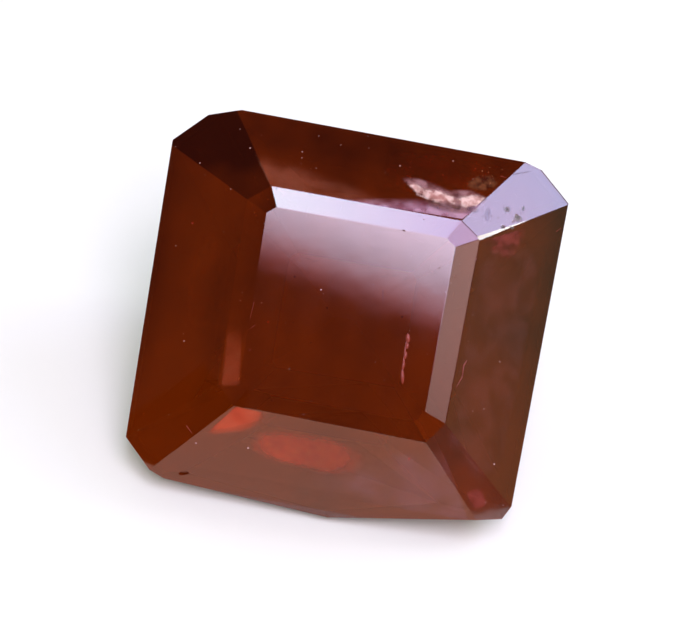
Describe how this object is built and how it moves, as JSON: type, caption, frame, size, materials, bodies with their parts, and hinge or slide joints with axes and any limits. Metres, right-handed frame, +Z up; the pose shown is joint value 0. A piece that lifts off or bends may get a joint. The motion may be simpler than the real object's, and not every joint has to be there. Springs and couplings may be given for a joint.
{
  "type": "faceted ruby gemstone",
  "caption": "Loose dark red ruby in a nearly square step cut with clipped corners, a see-through faceted stone lying on one pavilion facet.",
  "frame": {"origin": "on the surface the stone lies on, under the centre of its bounding box", "axes": "+Z up from that surface, +X along the level girdle side from the viewer's left to right, +Y away from the viewer, so the table faces up and towards -Y"},
  "size_m": [0.01, 0.0074, 0.007],
  "materials": {
    "ruby": "polished facets on see-through dark brownish red crystal"
  },
  "bodies": {
    "root": {"ruby": "ruby"}
  },
  "joints": []
}
